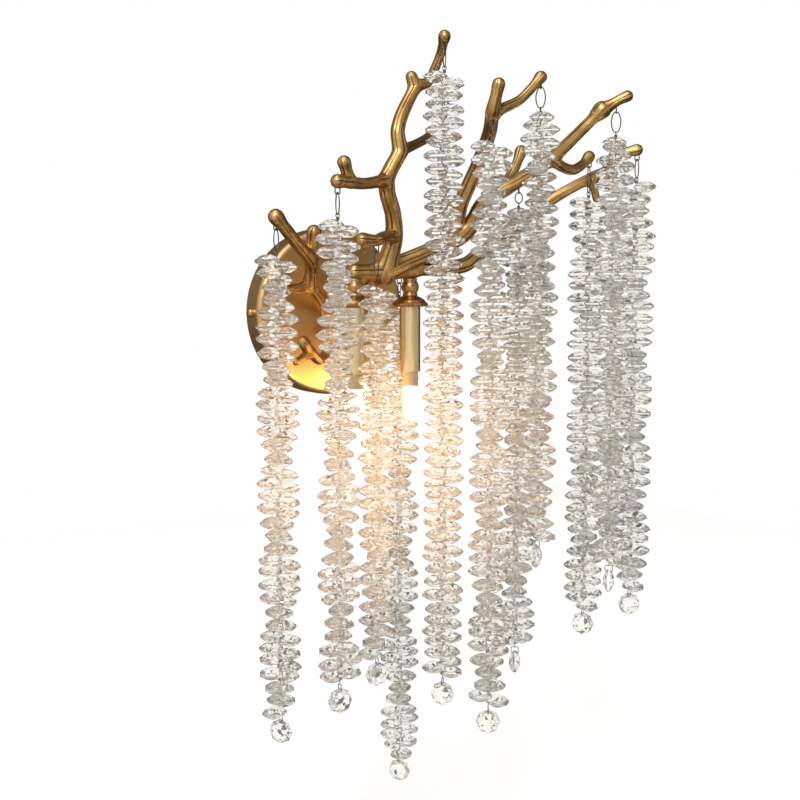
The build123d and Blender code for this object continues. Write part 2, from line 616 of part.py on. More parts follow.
def lock_nuts():
    """Nut under each cup, and the large nut that holds the hub to the pan."""
    lamp_nut = extrude(RegularPolygon(NUT_ACROSS_FLATS / 2, 6, major_radius=False), -NUT_THICKNESS)
    lamp_nut -= Cylinder(NIPPLE_DIAMETER / 2 + THREAD_CLEARANCE, 2 * NUT_THICKNESS)
    nuts = [Pos(at((x, HUB_OUT, SLEEVE_TOP_Z))) * lamp_nut for x in LAMP_X.values()]
    hub_nut = extrude(RegularPolygon(HUB_NUT_ACROSS_FLATS / 2, 6, major_radius=False), -NUT_THICKNESS)
    hub_nut -= Cylinder(SPIGOT_DIAMETER / 2 + THREAD_CLEARANCE, 2 * NUT_THICKNESS)
    nuts.append(Plane(at((0, PLATE_DEPTH - PLATE_WALL, 0)), z_dir=OUTWARD).location * hub_nut)
    return Compound(nuts)


def terminal_block():
    """Terminal block on the bracket, with a through hole for each pole."""
    block = Pos(TERMINAL_START, -BRACKET_THICKNESS, 0) * Box(
        TERMINAL_LENGTH, TERMINAL_HEIGHT, TERMINAL_WIDTH, align=(Align.MIN, Align.MAX, Align.CENTER)
    )
    pole_pitch = TERMINAL_LENGTH / TERMINAL_POLES
    for pole in range(TERMINAL_POLES):
        block -= upright(
            TERMINAL_HOLE_DIAMETER / 2,
            TERMINAL_START + (pole + 0.5) * pole_pitch,
            BRACKET_THICKNESS + TERMINAL_HEIGHT / 2,
            -TERMINAL_WIDTH,
            TERMINAL_WIDTH,
        )
    return block


def lamp_leads():
    """Lead to each socket, from the terminal block through the stem, an arm and the nipple."""
    leads = []
    for side, step in (("left", 1), ("right", -1)):
        lift = step * LEAD_SPACING / 2
        route = [
            (TERMINAL_START, LEAD_OUT, lift),
            (0, LEAD_OUT, lift),
            (0, STEM_FOOT[1], lift),
            (HUB_X, HUB_OUT, HUB_Z + lift),
            (LAMP_X[side], HUB_OUT, HUB_Z + lift),
            (LAMP_X[side], HUB_OUT, NIPPLE_END_Z + THREAD_CLEARANCE),
        ]
        leads.append(swept(LEAD_DIAMETER, FilletPolyline(*[at(p) for p in route], radius=LEAD_BEND)))
    return Compound(leads)


def all_parts():
    """Every piece of the light by the name of its node."""
    parts = {
        "wall_plate": wall_plate(),
        "mounting_bracket": mounting_bracket(),
        "side_screws": side_screws(),
        "terminal_block": terminal_block(),
        "lamp_leads": lamp_leads(),
        "lamp_nipples": lamp_nipples(),
        "lock_nuts": lock_nuts(),
        **branches(),
    }
    for side, x in LAMP_X.items():
        parts[f"{side}_lamp_neck"] = lamp_neck(x)
        parts[f"{side}_lamp_cup"] = lamp_cup(x)
        parts[f"{side}_lamp_sleeve"] = lamp_sleeve(x)
        parts[f"{side}_lamp_socket"] = lamp_socket(x)
        parts[f"{side}_bulb_base"] = bulb_base(x)
        parts[f"{side}_bulb_glass"] = bulb_glass(x)
    parts["wire_eyes"] = Compound([wire_eye(strand) for strand in STRANDS])
    bead = octagon_bead()
    for number, strand in enumerate(STRANDS, start=1):
        parts[f"strand_{number}_link"] = oval_link(strand)
        parts[f"strand_{number}_wire"] = strand_wire(strand)
        parts[f"strand_{number}_beads"] = strand_beads(strand, number, bead)
    return parts


os.makedirs("parts", exist_ok=True)
for name, shape in all_parts().items():
    export_step(shape, f"parts/{name}.step", write_pcurves="beads" not in name)
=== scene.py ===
"""Looks of a branch-shaped wall light: gold castings, turned lamps, lit bulbs and strands of glass beads.

Places are written as (x, out, z) in millimetres, out being the distance from the wall, and become metres
in the meshes.
"""
import logging
import math
from dataclasses import dataclass
from enum import Enum

import bmesh
import bpy
import numpy as np
from mathutils import Matrix, Vector


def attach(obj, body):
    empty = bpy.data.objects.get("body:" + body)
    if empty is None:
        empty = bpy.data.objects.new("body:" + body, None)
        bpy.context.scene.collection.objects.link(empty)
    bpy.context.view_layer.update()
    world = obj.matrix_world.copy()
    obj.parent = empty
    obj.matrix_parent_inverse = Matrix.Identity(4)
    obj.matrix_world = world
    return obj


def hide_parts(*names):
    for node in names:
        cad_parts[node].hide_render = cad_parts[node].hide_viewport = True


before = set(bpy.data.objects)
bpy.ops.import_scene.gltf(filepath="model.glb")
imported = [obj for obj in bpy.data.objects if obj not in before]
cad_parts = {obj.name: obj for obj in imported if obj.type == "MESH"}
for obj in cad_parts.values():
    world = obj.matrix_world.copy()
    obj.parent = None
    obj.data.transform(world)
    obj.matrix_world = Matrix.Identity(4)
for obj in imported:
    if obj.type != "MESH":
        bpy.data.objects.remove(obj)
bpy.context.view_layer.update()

MM = 0.001
LOG = logging.getLogger("wall_light")

Colour = tuple[float, float, float]
Place = tuple[float, float, float]
LimbPoint = tuple[float, float, float, float]
Array = np.ndarray
Faces = list[list[int]]
Socket = bpy.types.NodeSocket
WHITE = (1.0, 1.0, 1.0)
BLACK = (0.0, 0.0, 0.0)


class Slot(Enum):
    """Names of three material slots of the record, matching the finishes of the new pieces."""

    CAST_GOLD = "cast_gold"
    TURNED_GOLD = "turned_gold"
    BEAD_GLASS = "bead_glass"


class Axis(Enum):
    """Direction of a turned piece's axis."""

    UP = "up"
    OUT = "out"


class Side(Enum):
    """The two lamps."""

    LEFT = "left"
    RIGHT = "right"


class Kind(Enum):
    """Kinds of sockets of a node group."""

    COLOUR = "NodeSocketColor"
    NUMBER = "NodeSocketFloat"
    PLACE = "NodeSocketVector"


# Mesh helpers


def metres(places: Array) -> Array:
    """Turn (x, out, z) places in millimetres into row-frame points in metres.

    Args:
        places: Array whose last axis holds x, out and z.
    Returns:
        Array of the same shape holding x, -out and z in metres.
    """
    return places * np.array([1.0, -1.0, 1.0]) * MM


def grid_faces(rows: int, columns: int, wrap: bool = False) -> Array:
    """Quads of a grid that closes on itself along its columns, and along its rows too if it wraps.

    Args:
        rows: Number of rings.
        columns: Points in each ring.
        wrap: Whether the last ring joins the first.
    Returns:
        Array of quads, each as four vertex numbers.
    """
    row = np.arange(rows if wrap else rows - 1)[:, None]
    below, above = row * columns, (row + 1) % rows * columns
    here = np.arange(columns)[None, :]
    following = (here + 1) % columns
    corners = [below + here, below + following, above + following, above + here]
    return np.stack(corners, axis=-1).reshape(-1, 4)


def cap_faces(ring_start: int, columns: int, pole: int, flip: bool) -> Array:
    """Triangles that join one ring to a pole.

    Args:
        ring_start: Number of the ring's first vertex.
        columns: Points in the ring.
        pole: Number of the pole's vertex.
        flip: Whether the triangles turn the other way round.
    Returns:
        Array of triangles.
    """
    here = ring_start + np.arange(columns)
    following = ring_start + (np.arange(columns) + 1) % columns
    pair = (following, here) if flip else (here, following)
    return np.stack([*pair, np.full(columns, pole)], axis=-1)


def shifted(faces: Faces, start: int) -> Faces:
    """Faces whose vertex numbers begin at another number."""
    return [[corner + start for corner in face] for face in faces]


def spin(axis: int, angles: Array) -> Array:
    """Turning matrices about one axis: cosines on the diagonal, sine and minus sine beside it.

    Args:
        axis: 0, 1 or 2 for x, y or z.
        angles: Angles in radians.
    Returns:
        One 3 by 3 matrix for each angle.
    """
    matrices = np.zeros((len(angles), 3, 3))
    first, second = (axis + 1) % 3, (axis + 2) % 3
    matrices[:, axis, axis] = 1.0
    matrices[:, first, first] = matrices[:, second, second] = np.cos(angles)
    matrices[:, second, first] = np.sin(angles)
    matrices[:, first, second] = -np.sin(angles)
    return matrices


def add_piece(name: str, points: Array, faces: Faces, smooth: bool) -> bpy.types.Object:
    """Make an object at the origin from row-frame points and faces, its faces turned outward.

    Args:
        name: Name of the piece.
        points: Vertices in metres.
        faces: Faces as lists of vertex numbers.
        smooth: Whether its shading is smooth.
    Returns:
        The new object, linked to the scene.
    """
    mesh = bpy.data.meshes.new(name)
    mesh.from_pydata(points.tolist(), [], faces)
    shells = bmesh.new()
    shells.from_mesh(mesh)
    bmesh.ops.recalc_face_normals(shells, faces=shells.faces)
    shells.to_mesh(mesh)
    shells.free()
    mesh.polygons.foreach_set("use_smooth", np.full(len(mesh.polygons), smooth))
    mesh.update()
    piece = bpy.data.objects.new(name, mesh)
    bpy.context.scene.collection.objects.link(piece)
    return piece


def finish_piece(piece: bpy.types.Object, node: str, body: str,
                 finish: bpy.types.Material) -> None:
    """Dress a new piece and let it stand for a CAD node.

    Args:
        piece: The piece.
        node: The CAD node that it replaces.
        body: The body that it moves with.
        finish: Its material.
    """
    piece.data.materials.append(finish)
    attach(piece, body)
    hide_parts(node)
    LOG.info("%s stands for %s: %d faces", piece.name, node, len(piece.data.polygons))


def add_values(piece: bpy.types.Object, name: str, values: Array) -> None:
    """Store one number per vertex on a piece, for its material to read.

    Args:
        piece: The piece.
        name: Name of the attribute.
        values: One number per vertex.
    """
    attribute = piece.data.attributes.new(name, "FLOAT", "POINT")
    attribute.data.foreach_set("value", values.astype(np.float32))


# Finishes


class Nodes:
    """Small helper that adds and joins shader nodes in one tree."""

    def __init__(self, tree: bpy.types.NodeTree) -> None:
        """Keep the tree that nodes go into."""
        self.tree = tree

    def add(self, kind: str, **values: object) -> bpy.types.Node:
        """Add a node and set its properties and input values.

        Args:
            kind: Blender's node type.
            **values: Properties by name, or input values by socket name with spaces as underscores.
        Returns:
            The new node.
        """
        node = self.tree.nodes.new(kind)
        for key, value in values.items():
            if hasattr(node, key):
                setattr(node, key, value)
            else:
                node.inputs[key.replace("_", " ")].default_value = value
        return node

    def join(self, source: Socket, target: Socket) -> None:
        """Link one socket to another."""
        self.tree.links.new(source, target)

    def blend(self, share: Socket, start: Socket | Colour, end: Socket | Colour) -> Socket:
        """Mix two colours.

        Args:
            share: Share of the second colour.
            start: First colour, or the socket that gives it.
            end: Second colour, or the socket that gives it.
        Returns:
            The mixed colour.
        """
        mix = self.add("ShaderNodeMix", data_type="RGBA")
        self.join(share, mix.inputs["Factor"])
        for source, target in ((start, mix.inputs["A"]), (end, mix.inputs["B"])):
            if isinstance(source, Socket):
                self.join(source, target)
            else:
                target.default_value = (*source, 1.0)
        return mix.outputs["Result"]

    def noise(self, size: float, detail: float, coordinates: str = "Object") -> Socket:
        """Add a noise texture.

        Args:
            size: Its scale.
            detail: Its detail.
            coordinates: The texture coordinates that it lies on.
        Returns:
            Its value.
        """
        place = self.add("ShaderNodeTexCoord")
        texture = self.add("ShaderNodeTexNoise", Scale=size, Detail=detail)
        self.join(place.outputs[coordinates], texture.inputs["Vector"])
        return texture.outputs["Fac"]

    def spread(self, value: Socket, **limits: object) -> Socket:
        """Map a value from one range to another.

        Args:
            value: The value.
            **limits: Limits and properties of the Map Range node.
        Returns:
            The mapped value.
        """
        node = self.add("ShaderNodeMapRange", **limits)
        self.join(value, node.inputs["Value"])
        return node.outputs["Result"]

    def relief(self, height: Socket, strength: float, distance: float, shader: bpy.types.Node) -> None:
        """Raise a shader's surface.

        Args:
            height: Height over the surface.
            strength: Strength of the bump.
            distance: Height of a full bump in metres.
            shader: The shader.
        """
        bump = self.add("ShaderNodeBump", Strength=strength, Distance=distance)
        self.join(height, bump.inputs["Height"])
        self.join(bump.outputs["Normal"], shader.inputs["Normal"])


def new_material(name: str, **values: object) -> tuple[bpy.types.Material, Nodes, bpy.types.Node]:
    """Start a material with a Principled shader on its output.

    Args:
        name: Name of the material.
        **values: Values that are the same all over the surface, by socket name.
    Returns:
        The material, its node helper and its Principled node.
    """
    material = bpy.data.materials.new(name)
    material.use_nodes = True
    nodes = Nodes(material.node_tree)
    nodes.tree.nodes.clear()
    shader = nodes.add("ShaderNodeBsdfPrincipled", **values)
    output = nodes.add("ShaderNodeOutputMaterial")
    nodes.join(shader.outputs["BSDF"], output.inputs["Surface"])
    return material, nodes, shader


def new_group(name: str, inputs: dict[str, Kind],
              outputs: dict[str, Kind]) -> tuple[Nodes, bpy.types.Node, bpy.types.Node]:
    """Start a node group with named sockets.

    Args:
        name: Name of the group.
        inputs: Kind of each input.
        outputs: Kind of each output.
    Returns:
        Node helper of the group, its input node and its output node.
    """
    group = bpy.data.node_groups.new(name, "ShaderNodeTree")
    for way, sockets in (("INPUT", inputs), ("OUTPUT", outputs)):
        for label, kind in sockets.items():
            group.interface.new_socket(label, in_out=way, socket_type=kind.value)
    nodes = Nodes(group)
    return nodes, nodes.add("NodeGroupInput"), nodes.add("NodeGroupOutput")


PATINA, PATCH_START, PATCH_END, PATCH_DARKNESS = "patina", 0.36, 0.72, 0.45
# Painted glow: the bulbs' light painted into the bead glass as emission that fades with distance from the
# bulbs.
PAINTED_GLOW, PAINTED_GLOW_STEEPNESS = "painted_bulb_glow", 2.0
GROOVE = "groove"


def patina_group() -> bpy.types.NodeTree:
    """Shared patina: a dark tone that gathers in grooves and cloudy patches, with matching gloss and height.

    Returns:
        Group with inputs Light, Dark, Groove, Patch Size, Grain Size, Smooth and Rough, and outputs Color,
        Roughness and Height.
    """
    existing = bpy.data.node_groups.get(PATINA)
    if existing:
        return existing
    nodes, given, result = new_group(
        PATINA,
        {"Light": Kind.COLOUR, "Dark": Kind.COLOUR, "Groove": Kind.NUMBER, "Patch Size": Kind.NUMBER,
         "Grain Size": Kind.NUMBER, "Smooth": Kind.NUMBER, "Rough": Kind.NUMBER},
        {"Color": Kind.COLOUR, "Roughness": Kind.NUMBER, "Height": Kind.NUMBER})
    place = nodes.add("ShaderNodeTexCoord")
    patches = nodes.add("ShaderNodeTexNoise", Detail=3.0, Roughness=0.6)
    grain = nodes.add("ShaderNodeTexNoise", Detail=5.0, Roughness=0.7)
    for texture, size in ((patches, "Patch Size"), (grain, "Grain Size")):
        nodes.join(place.outputs["Object"], texture.inputs["Vector"])
        nodes.join(given.outputs[size], texture.inputs["Scale"])
    clouds = nodes.spread(patches.outputs["Fac"], From_Min=PATCH_START, From_Max=PATCH_END, To_Min=0.0,
                          To_Max=PATCH_DARKNESS)
    darkness = nodes.add("ShaderNodeMath", operation="ADD", use_clamp=True)
    nodes.join(given.outputs["Groove"], darkness.inputs[0])
    nodes.join(clouds, darkness.inputs[1])
    share = darkness.outputs["Value"]
    gloss = nodes.add("ShaderNodeMix", data_type="FLOAT")
    nodes.join(share, gloss.inputs["Factor"])
    nodes.join(given.outputs["Smooth"], gloss.inputs["A"])
    nodes.join(given.outputs["Rough"], gloss.inputs["B"])
    nodes.join(nodes.blend(share, given.outputs["Light"], given.outputs["Dark"]), result.inputs["Color"])
    nodes.join(gloss.outputs["Result"], result.inputs["Roughness"])
    nodes.join(grain.outputs["Fac"], result.inputs["Height"])
    return nodes.tree


@dataclass(frozen=True)
class MetalFinish:
    """Plated or drawn metal with patina, darker in its grooves where it has them; rim tints its edges."""

    name: str
    light: Colour
    dark: Colour
    smooth: float
    rough: float
    patch_size: float = 60.0
    grain_size: float = 900.0
    bump: float = 0.15
    grain_height: float = 0.0006
    grooved: bool = False
    rim: Colour = WHITE

    def make(self) -> bpy.types.Material:
        """Build the material with the shared patina group.

        Returns:
            The material.
        """
        material, nodes, shader = new_material(self.name, Metallic=1.0, Specular_Tint=(*self.rim, 1.0))
        patina = nodes.add("ShaderNodeGroup", node_tree=patina_group(), Light=(*self.light, 1.0),
                           Dark=(*self.dark, 1.0), Patch_Size=self.patch_size, Grain_Size=self.grain_size,
                           Smooth=self.smooth, Rough=self.rough)
        if self.grooved:
            groove = nodes.add("ShaderNodeAttribute", attribute_name=GROOVE)
            nodes.join(groove.outputs["Fac"], patina.inputs["Groove"])
        nodes.relief(patina.outputs["Height"], self.bump, self.grain_height, shader)
        nodes.join(patina.outputs["Color"], shader.inputs["Base Color"])
        nodes.join(patina.outputs["Roughness"], shader.inputs["Roughness"])
        return material


def painted_glow_group() -> bpy.types.NodeTree:
    """Shared painted glow: the bulbs' warm light painted into the glass as emission, strongest between the
    bulbs and fading with distance.

    Returns:
        Group with inputs Tint, Middle and Reach (metres), and output Color.
    """
    existing = bpy.data.node_groups.get(PAINTED_GLOW)
    if existing:
        return existing
    nodes, given, result = new_group(PAINTED_GLOW, {"Tint": Kind.COLOUR, "Middle": Kind.PLACE, "Reach": Kind.NUMBER},
                                     {"Color": Kind.COLOUR})
    place = nodes.add("ShaderNodeTexCoord")
    away = nodes.add("ShaderNodeVectorMath", operation="DISTANCE")
    nodes.join(place.outputs["Object"], away.inputs[0])
    nodes.join(given.outputs["Middle"], away.inputs[1])
    fade = nodes.add("ShaderNodeMapRange", interpolation_type="SMOOTHSTEP", To_Min=1.0, To_Max=0.0)
    nodes.join(away.outputs["Value"], fade.inputs["Value"])
    nodes.join(given.outputs["Reach"], fade.inputs["From Max"])
    steep = nodes.add("ShaderNodeMath", operation="POWER")
    steep.inputs[1].default_value = PAINTED_GLOW_STEEPNESS
    nodes.join(fade.outputs["Result"], steep.inputs[0])
    nodes.join(nodes.blend(steep.outputs["Value"], BLACK, given.outputs["Tint"]), result.inputs["Color"])
    return nodes.tree


@dataclass(frozen=True)
class GlassFinish:
    """Cut glass with faint cloudy variation of its tint and polish, and the bulbs' light painted into it as
    an emission glow.
    """

    name: str
    clear: Colour
    cloudy: Colour
    transmission: float
    roughness: float
    ior: float = 1.54
    cloud_size: float = 140.0
    cloud_start: float = 0.3
    cloud_end: float = 0.7
    scratch_size: float = 1400.0
    scratch_height: float = 0.0002
    bump: float = 0.012
    # Painted glow of the bulbs' light in the glass: its colour, emission strength, middle and reach.
    glow: Colour = (1.0, 0.58, 0.24)
    glow_strength: float = 0.12
    glow_middle: Place = (-0.01, -0.11, -0.11)
    glow_reach: float = 0.26

    def make(self) -> bpy.types.Material:
        """Build the material.

        Returns:
            The material.
        """
        material, nodes, shader = new_material(self.name, Transmission_Weight=self.transmission, IOR=self.ior,
                                               Emission_Strength=self.glow_strength)
        clouds = nodes.noise(self.cloud_size, detail=2.0)
        polish = nodes.spread(clouds, From_Min=self.cloud_start, From_Max=self.cloud_end, To_Min=0.0,
                              To_Max=self.roughness)
        nodes.join(polish, shader.inputs["Roughness"])
        nodes.relief(nodes.noise(self.scratch_size, detail=1.0), self.bump, self.scratch_height, shader)
        # Painted glow: emission standing in for the bulbs' light scattered inside the beads.
        painted_glow = nodes.add("ShaderNodeGroup", node_tree=painted_glow_group(), Tint=(*self.glow, 1.0),
                           Middle=self.glow_middle, Reach=self.glow_reach)
        nodes.join(painted_glow.outputs["Color"], shader.inputs["Emission Color"])
        nodes.join(nodes.blend(clouds, self.clear, self.cloudy), shader.inputs["Base Color"])
        return material


@dataclass(frozen=True)
class LitFinish:
    """Glowing glass, white-hot in the middle of the bulb and cream at its edges."""

    name: str
    core: Colour
    edge: Colour
    strength: float
    ripple_size: float = 90.0
    ripple_height: float = 0.0003
    smooth: float = 0.12
    rough: float = 0.28
    bump: float = 0.05
    edge_start: float = 0.12
    edge_end: float = 0.5

    def make(self) -> bpy.types.Material:
        """Build the material.

        Returns:
            The material.
        """
        material, nodes, shader = new_material(self.name, Base_Color=(*self.core, 1.0),
                                               Emission_Strength=self.strength)
        ripple = nodes.noise(self.ripple_size, detail=1.0)
        nodes.join(nodes.spread(ripple, To_Min=self.smooth, To_Max=self.rough), shader.inputs["Roughness"])
        nodes.relief(ripple, self.bump, self.ripple_height, shader)
        facing = nodes.add("ShaderNodeLayerWeight", Blend=0.5)
        edge = nodes.spread(facing.outputs["Facing"], From_Min=self.edge_start, From_Max=self.edge_end)
        nodes.join(nodes.blend(edge, self.core, self.edge), shader.inputs["Emission Color"])
        return material


@dataclass(frozen=True)
class MouldedFinish:
    """Ceramic, plastic or insulation with a slight mottle."""

    name: str
    light: Colour
    dark: Colour
    roughness: float
    mottle_size: float = 220.0
    mottle_height: float = 0.0003
    bump: float = 0.08

    def make(self) -> bpy.types.Material:
        """Build the material.

        Returns:
            The material.
        """
        material, nodes, shader = new_material(self.name, Roughness=self.roughness)
        mottle = nodes.noise(self.mottle_size, detail=4.0)
        nodes.join(nodes.blend(mottle, self.light, self.dark), shader.inputs["Base Color"])
        nodes.relief(mottle, self.bump, self.mottle_height, shader)
        return material


FINISHES = (
    MetalFinish("cast_gold", (0.79, 0.485, 0.18), (0.15, 0.062, 0.014), 0.25, 0.45, grain_size=320.0,
                bump=0.18, grooved=True),
    MetalFinish("turned_gold", (0.66, 0.39, 0.15), (0.16, 0.06, 0.012), 0.22, 0.45, bump=0.05, grooved=True),
    MetalFinish("satin_gold", (0.72, 0.47, 0.21), (0.52, 0.3, 0.11), 0.34, 0.46, patch_size=18.0, bump=0.04),
    MetalFinish("sleeve_gold", (0.97, 0.81, 0.48), (0.88, 0.67, 0.34), 0.3, 0.42, patch_size=25.0, bump=0.04,
                rim=(0.42, 0.2, 0.035)),
    MetalFinish("brass_screws", (0.72, 0.46, 0.17), (0.36, 0.2, 0.06), 0.2, 0.35),
    MetalFinish("zinc_steel", (0.68, 0.68, 0.66), (0.42, 0.42, 0.4), 0.35, 0.5),
    MetalFinish("steel_wire", (0.2, 0.18, 0.155), (0.07, 0.06, 0.05), 0.25, 0.45),
    GlassFinish("bead_glass", (0.95, 0.935, 0.9), (0.83, 0.81, 0.755), 0.89, 0.008),
    LitFinish("lit_glass", (1.0, 0.56, 0.25), (0.0166, 0.0142, 0.0102), 54.0),
    MouldedFinish("bulb_ceramic", (0.66, 0.5, 0.28), (0.46, 0.3, 0.13), 0.5),
    MouldedFinish("socket_ceramic", (0.88, 0.86, 0.82), (0.78, 0.75, 0.7), 0.55),
    MouldedFinish("terminal_plastic", (0.9, 0.89, 0.85), (0.8, 0.79, 0.74), 0.45),
    MouldedFinish("lead_insulation", (0.1, 0.09, 0.08), (0.05, 0.045, 0.04), 0.5),
)
PALE_FLOOR = MouldedFinish("pale_floor", (0.99, 0.99, 0.985), (0.975, 0.975, 0.97), 0.8, mottle_size=3.0,
                           bump=0.0)


@dataclass(frozen=True)
class FinishSet:
    """The materials of the light, built once."""

    cast_gold: bpy.types.Material
    turned_gold: bpy.types.Material
    satin_gold: bpy.types.Material
    sleeve_gold: bpy.types.Material
    brass_screws: bpy.types.Material
    zinc_steel: bpy.types.Material
    steel_wire: bpy.types.Material
    bead_glass: bpy.types.Material
    lit_glass: bpy.types.Material
    bulb_ceramic: bpy.types.Material
    socket_ceramic: bpy.types.Material
    terminal_plastic: bpy.types.Material
    lead_insulation: bpy.types.Material

    @classmethod
    def make(cls) -> "FinishSet":
        """Build every material from its finish."""
        return cls(**{finish.name: finish.make() for finish in FINISHES})


def dress(node: str, finish: bpy.types.Material) -> None:
    """Give a CAD node its material.

    Args:
        node: Name of the CAD node.
        finish: Its material.
    """
    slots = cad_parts[node].data.materials
    slots.clear()
    slots.append(finish)
    LOG.info("%s dressed in %s", node, finish.name)


# Branch castings


@dataclass(frozen=True)
class BarkWave:
    """One wave of the bark around a limb: its ridges, their drift along the limb, and its share."""

    ridges: int
    drift: float
    length: float
    drift_phase: float
    ring_phase: float
    share: float


BARK_WAVES = (BarkWave(7, 0.9, 34.0, 1.0, 1.0, 0.4), BarkWave(11, 1.3, 27.0, 2.0, 0.0, 0.34),
              BarkWave(18, -1.6, 21.0, 1.0, 3.0, 0.26))


@dataclass(frozen=True)
class Limb:
    """One limb of a casting: a tube along a smooth line through its points, with bark and a round tip."""

    points: tuple[LimbPoint, ...]
    phase: float = 0.0
    tip: float = 1.12
    station_step: float = 1.0
    columns: int = 80
    bend: float = 0.85
    neck: float = 0.06
    neck_place: float = 2.2
    ridge: float = 0.03
    groove: float = 0.11
    groove_tone: float = 1.9
    groove_start: float = 0.15
    bark_fade: float = 0.25
    fade_length: float = 19.0
    fade_turns: int = 3
    web: float = 7.0
    cap_rings: int = 7

    def stations(self) -> Array:
        """Cubic Hermite line through the points, with tangents along the chords of their neighbours.

        Returns:
            Stations as (x, out, z, radius) rows.
        """
        points = np.array(self.points, float)
        chords = np.gradient(points, axis=0) * self.bend
        rows = []
        for first, last, leave, arrive in zip(points, points[1:], chords, chords[1:]):
            count = max(int(np.linalg.norm(last[:3] - first[:3]) / self.station_step), 4)
            t = np.linspace(0.0, 1.0, count, endpoint=False)[:, None]
            rows.append((2 * t**3 - 3 * t**2 + 1) * first + (t**3 - 2 * t**2 + t) * leave
                        + (3 * t**2 - 2 * t**3) * last + (t**3 - t**2) * arrive)
        return np.concatenate([*rows, points[-1:]])

    def surface(self, line: Array, others: list[Array]) -> tuple[Array, Array, Faces]:
        """Carry a grooved ring along the stations and round both ends off.

        A ring's radius is the limb's radius with a ball at the tip, raised and cut by the bark, and swollen
        next to limbs that it meets. The end rings shrink as a quarter circle to a pole.

        Args:
            line: Stations of the limb.
            others: Stations of the limbs that it meets, near the meeting places.
        Returns:
            Points as (x, out, z) rows, groove depth of each from 0 to 1, and faces.
        """
        centre, radius = line[:, :3], self.radii(line)
        turn = np.linspace(0.0, 0.5 * math.pi, self.cap_rings + 1)[1:-1]
        ahead = (centre[-1] - centre[-2]) / np.linalg.norm(centre[-1] - centre[-2])
        behind = (centre[0] - centre[1]) / np.linalg.norm(centre[0] - centre[1])
        tip = centre[-1] + ahead * radius[-1] * np.sin(turn)[:, None]
        root = centre[0] + behind * radius[0] * np.sin(turn[::-1])[:, None]
        centres = np.concatenate([root, centre, tip])
        fade = np.concatenate([np.cos(turn[::-1]), np.ones(len(line)), np.cos(turn)])
        radii = np.concatenate([np.full(len(turn), radius[0]), radius, np.full(len(turn), radius[-1])]) * fade
        along = np.concatenate([[0.0], np.cumsum(np.linalg.norm(np.diff(centres, axis=0), axis=1))])
        side, rise = self.ring_axes(centres)
        ring = np.linspace(0.0, 2 * math.pi, self.columns, endpoint=False)
        spokes = (np.cos(ring)[None, :, None] * side[:, None, :]
                  + np.sin(ring)[None, :, None] * rise[:, None, :])
        bark = self.bark(along) * fade[:, None]
        reach = radii[:, None] * (1.0 + np.where(bark > 0, self.ridge, self.groove) * bark)
        reach = reach + fade[:, None] * self.webbing(centres[:, None, :] + spokes * reach[:, :, None], others)
        rings = centres[:, None, :] + spokes * reach[:, :, None]
        poles = np.stack([centre[0] + behind * radius[0], centre[-1] + ahead * radius[-1]])
        places = np.concatenate([rings.reshape(-1, 3), poles])
        depth = np.clip(-self.groove_tone * bark - self.groove_start, 0.0, 1.0).ravel()
        count = len(centres) * self.columns
        faces = grid_faces(len(centres), self.columns).tolist()
        faces += cap_faces(0, self.columns, count, True).tolist()
        faces += cap_faces(count - self.columns, self.columns, count + 1, False).tolist()
        return places, np.concatenate([depth, [0.0, 0.0]]), faces

    def webbing(self, rings: Array, others: list[Array]) -> Array:
        """Swell of each ring point next to other limbs, as between two shapes that are joined smoothly.

        It is a quarter of the web at the other limb's surface, and falls with the square of the distance to
        nothing one web away from it.

        Args:
            rings: Points of the limb's rings.
            others: Stations of the limbs that it meets.
        Returns:
            One swell for each point.
        """
        swell = np.zeros(rings.shape[:2])
        for stations in others:
            middles, radii = stations[:, :3], stations[:, 3]
            apart = np.linalg.norm(rings[:, :, None, :] - middles, axis=-1) - radii
            near = np.clip(1.0 - np.abs(apart.min(axis=-1)) / self.web, 0.0, None)
            swell = np.maximum(swell, 0.25 * self.web * near**2)
        return swell

    def radii(self, line: Array) -> Array:
        """Radius at each station: the limb's own, with a ball at the tip and a slight neck behind it.

        Args:
            line: Stations of the limb.
        Returns:
            One radius for each station.
        """
        apart = np.linalg.norm(line[:, :3] - line[-1, :3], axis=1) / line[-1, 3]
        ball = (self.tip - 1.0) * np.exp(-(apart**2))
        return line[:, 3] * (1.0 + ball - self.neck * np.exp(-((apart - self.neck_place) ** 2)))

    def ring_axes(self, centres: Array) -> tuple[Array, Array]:
        """Two axes across the line at each station, from the direction that the line runs along least.

        Args:
            centres: Stations as (x, out, z) rows.
        Returns:
            Side and rise axes, one row for each station.
        """
        tangent = np.gradient(centres, axis=0)
        tangent = tangent / np.linalg.norm(tangent, axis=1, keepdims=True)
        least = np.linalg.svd(tangent)[2][-1]
        side = least - tangent * (tangent @ least)[:, None]
        side = side / np.linalg.norm(side, axis=1, keepdims=True)
        return side, np.cross(tangent, side)

    def bark(self, along: Array) -> Array:
        """Bark height from -1 to 1 around and along a limb.

        It adds waves around the ring, whose phases drift slowly along the limb, and fades them in and out.

        Args:
            along: Distance of each station from the root, in millimetres.
        Returns:
            One row of heights for each station.
        """
        ring = np.linspace(0.0, 2 * math.pi, self.columns, endpoint=False)[None, :]
        s = along[:, None]
        height = sum(
            wave.share * np.cos(wave.ridges * ring + wave.ring_phase * self.phase
                                + wave.drift * np.sin(s / wave.length + wave.drift_phase * self.phase))
            for wave in BARK_WAVES)
        fading = np.sin(s / self.fade_length + self.fade_turns * ring + self.phase)
        return height * (1.0 - self.bark_fade + self.bark_fade * fading)


